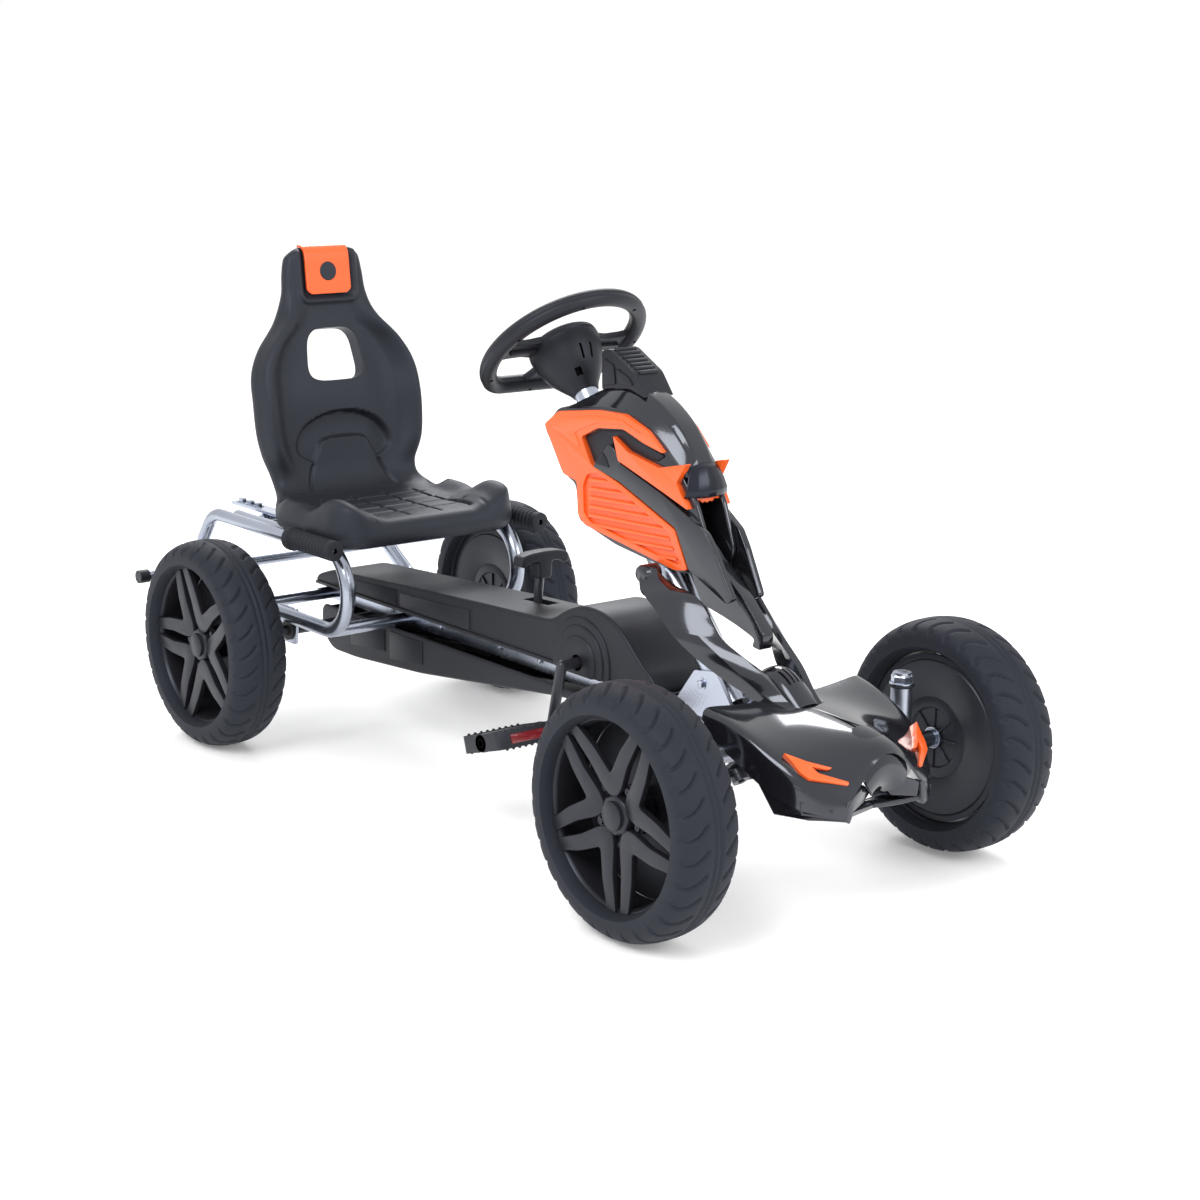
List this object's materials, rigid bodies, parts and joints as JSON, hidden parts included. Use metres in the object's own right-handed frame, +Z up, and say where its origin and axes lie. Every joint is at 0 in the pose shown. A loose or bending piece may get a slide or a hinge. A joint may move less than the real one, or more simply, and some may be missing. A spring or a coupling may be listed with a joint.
{
  "type": "pedal go kart",
  "caption": "Child pedal go kart: chain driven rear axle, steered front wheels, adjustable bucket seat, hand brake and a moulded fairing.",
  "frame": {"origin": "middle of the overall length and width, on the ground", "axes": "+X to the kart's left, +Y to the rear (the nose points to -Y), +Z up"},
  "size_m": [0.5878, 1.2473, 0.684],
  "materials": {
    "zinc_steel": "bright zinc plated",
    "sleeve_steel": "zinc plated",
    "black_steel": "black powder coat",
    "chain_steel": "oiled steel",
    "tyre_foam": "moulded foam rubber",
    "wheel_plastic": "satin black",
    "seat_plastic": "grained black",
    "cover_plastic": "fine grained black",
    "gloss_black": "polished black",
    "orange_plastic": "satin orange",
    "smoked_lens": "dark clear",
    "grip_rubber": "ribbed",
    "bush_plastic": "plain",
    "pedal_plastic": "moulded black"
  },
  "bodies": {
    "frame": {"main_beam": "zinc_steel", "steering_post": "zinc_steel", "post_side_plates": "zinc_steel", "front_cross_member": "sleeve_steel", "cross_tubes": "zinc_steel", "rear_bar": "zinc_steel", "rear_bar_caps": "cover_plastic", "hand_grips": "grip_rubber", "axle_brackets": "zinc_steel", "bearings": "bush_plastic", "brake_pin": "zinc_steel", "upper_cover": "cover_plastic", "lower_guard": "cover_plastic", "fairing_hood": "gloss_black", "dash_console": "cover_plastic", "fang_strips": "orange_plastic", "headlight_lens": "smoked_lens", "fairing_legs": "gloss_black", "nose_shell": "gloss_black", "lamp_inserts": "orange_plastic", "frame_fasteners": "zinc_steel", "chain": "chain_steel", "seat_loop_left": "zinc_steel", "grip_rail_left": "zinc_steel", "fairing_side_left": "gloss_black", "orange_panel_left": "orange_plastic", "seat_loop_right": "zinc_steel", "grip_rail_right": "zinc_steel", "fairing_side_right": "gloss_black", "orange_panel_right": "orange_plastic"},
    "seat": {"seat_shell": "seat_plastic", "headrest_insert": "orange_plastic", "headrest_button": "seat_plastic", "seat_mounts": "zinc_steel", "seat_fasteners": "zinc_steel"},
    "steering": {"steering_wheel": "cover_plastic", "steering_hub_cover": "cover_plastic", "steering_column": "black_steel", "column_collar": "zinc_steel", "pitman_plate": "black_steel"},
    "rear_axle": {"rear_axle": "black_steel", "rear_sprocket": "chain_steel", "rear_tyre_right": "tyre_foam", "rear_rim_right": "wheel_plastic"},
    "rear_left_wheel": {"rear_tyre_left": "tyre_foam", "rear_rim_left": "wheel_plastic"},
    "crank": {"crank": "black_steel", "chainring": "chain_steel"},
    "brake_lever": {"brake_lever": "black_steel", "brake_handle": "cover_plastic"},
    "knuckle_left": {"knuckle_left": "sleeve_steel"},
    "tie_rod_left": {"tie_rod_left": "black_steel"},
    "front_left_wheel": {"front_tyre_left": "tyre_foam", "front_rim_left": "wheel_plastic"},
    "pedal_left": {"pedal_left": "pedal_plastic"},
    "knuckle_right": {"knuckle_right": "sleeve_steel"},
    "tie_rod_right": {"tie_rod_right": "black_steel"},
    "front_right_wheel": {"front_tyre_right": "tyre_foam", "front_rim_right": "wheel_plastic"},
    "pedal_right": {"pedal_right": "pedal_plastic"}
  },
  "joints": [
    {"name": "rear_axle_spin", "type": "hinge", "parent": "frame", "child": "rear_axle", "pos_m": [0, 0.4436, 0.145], "axis": [1, 0, 0], "continuous": true},
    {"name": "rear_left_wheel_spin", "type": "hinge", "parent": "frame", "child": "rear_left_wheel", "pos_m": [0.2524, 0.4436, 0.145], "axis": [1, 0, 0], "continuous": true},
    {"name": "crank_spin", "type": "hinge", "parent": "frame", "child": "crank", "pos_m": [0, -0.1278, 0.207], "axis": [1, 0, 0], "continuous": true},
    {"name": "pedal_left_spin", "type": "hinge", "parent": "crank", "child": "pedal_left", "pos_m": [0.139, -0.14782, 0.29372], "axis": [1, 0, 0], "continuous": true},
    {"name": "pedal_right_spin", "type": "hinge", "parent": "crank", "child": "pedal_right", "pos_m": [-0.139, -0.10778, 0.12028], "axis": [1, 0, 0], "continuous": true},
    {"name": "steering_turn", "type": "hinge", "parent": "frame", "child": "steering", "pos_m": [0, -0.02527, 0.59143], "axis": [0, 0.6561, 0.7547], "range_deg": [-35, 35]},
    {"name": "knuckle_left_turn", "type": "hinge", "parent": "frame", "child": "knuckle_left", "pos_m": [0.165, -0.4792, 0.145], "axis": [0, 0, 1], "range_deg": [-32.07, 32.07]},
    {"name": "tie_rod_left_turn", "type": "hinge", "parent": "knuckle_left", "child": "tie_rod_left", "pos_m": [0.165, -0.4222, 0.115], "axis": [0, 0, 1], "range_deg": [-32.07, 32.07]},
    {"name": "front_left_wheel_spin", "type": "hinge", "parent": "knuckle_left", "child": "front_left_wheel", "pos_m": [0.25, -0.4792, 0.145], "axis": [1, 0, 0], "continuous": true},
    {"name": "knuckle_right_turn", "type": "hinge", "parent": "frame", "child": "knuckle_right", "pos_m": [-0.165, -0.4792, 0.145], "axis": [0, 0, 1], "range_deg": [-32.07, 32.07]},
    {"name": "tie_rod_right_turn", "type": "hinge", "parent": "knuckle_right", "child": "tie_rod_right", "pos_m": [-0.165, -0.4222, 0.115], "axis": [0, 0, 1], "range_deg": [-32.07, 32.07]},
    {"name": "front_right_wheel_spin", "type": "hinge", "parent": "knuckle_right", "child": "front_right_wheel", "pos_m": [-0.25, -0.4792, 0.145], "axis": [1, 0, 0], "continuous": true},
    {"name": "brake_lever_turn", "type": "hinge", "parent": "frame", "child": "brake_lever", "pos_m": [0.019, 0.0558, 0.206], "axis": [1, 0, 0], "range_deg": [-22, 0]},
    {"name": "seat_adjust", "type": "slide", "parent": "frame", "child": "seat", "axis": [0, 1, 0], "range_m": [-0.03, 0.03]}
  ],
  "couplings": [
    {"joint": "crank_spin", "follows": "rear_axle_spin", "ratio": 0.6},
    {"joint": "knuckle_left_turn", "follows": "steering_turn", "ratio": 0.915},
    {"joint": "tie_rod_left_turn", "follows": "steering_turn", "ratio": -0.915},
    {"joint": "knuckle_right_turn", "follows": "steering_turn", "ratio": 0.915},
    {"joint": "tie_rod_right_turn", "follows": "steering_turn", "ratio": -0.915}
  ]
}
